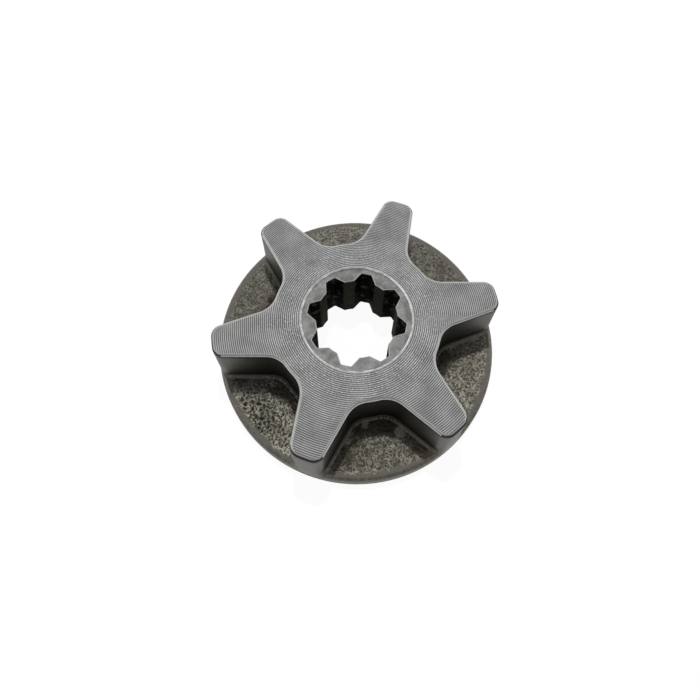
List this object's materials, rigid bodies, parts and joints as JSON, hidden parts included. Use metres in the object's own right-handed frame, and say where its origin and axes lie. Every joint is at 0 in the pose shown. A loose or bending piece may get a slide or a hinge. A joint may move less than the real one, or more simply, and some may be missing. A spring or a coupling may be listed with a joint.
{
  "type": "chainsaw drive sprocket",
  "caption": "Spur drive sprocket for a small electric chainsaw: open teeth on a flange disc and a splined bore that slides onto the motor's output shaft to pull the saw chain.",
  "frame": {"origin": "centre of the flange's underside, on the bore axis", "axes": "+Z along the bore axis from the flange towards the faced top of the teeth, +X along one tooth"},
  "size_m": [0.036, 0.036, 0.0092],
  "materials": {
    "sintered_steel": "as sintered, with a faced top"
  },
  "bodies": {
    "root": {"drive_sprocket": "sintered_steel"}
  },
  "joints": []
}
